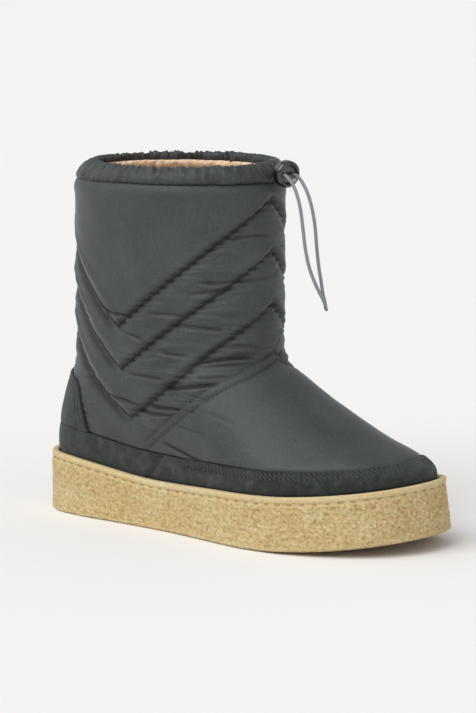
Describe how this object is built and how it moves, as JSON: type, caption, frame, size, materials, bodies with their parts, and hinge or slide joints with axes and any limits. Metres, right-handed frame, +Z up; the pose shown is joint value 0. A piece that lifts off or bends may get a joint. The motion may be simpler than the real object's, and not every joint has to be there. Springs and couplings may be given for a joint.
{
  "type": "boot",
  "caption": "Padded winter boot with a quilted nylon upper, suede mudguard and heel counter, drawcord collar and crepe-look cup sole.",
  "frame": {"origin": "on the floor under the middle of the sole's length and width", "axes": "+X to the toe, +Y to the inner side of the foot, +Z up"},
  "size_m": [0.27, 0.1097, 0.2175],
  "materials": {
    "crepe_rubber": "natural crepe grain, matt",
    "footbed": "fleece",
    "padded_nylon": "dark slate nylon, quilted, slight sheen",
    "suede": "green-grey suede nap",
    "gathered_nylon": "gathered nylon",
    "lock_plastic": "dark moulded, glossy",
    "elastic_cord": "braided elastic"
  },
  "bodies": {
    "root": {"outsole": "crepe_rubber", "insole": "footbed", "upper": "padded_nylon", "mudguard": "suede", "heel_counter": "suede", "collar_tunnel": "gathered_nylon", "cord_lock": "lock_plastic", "drawcord": "elastic_cord"}
  },
  "joints": []
}
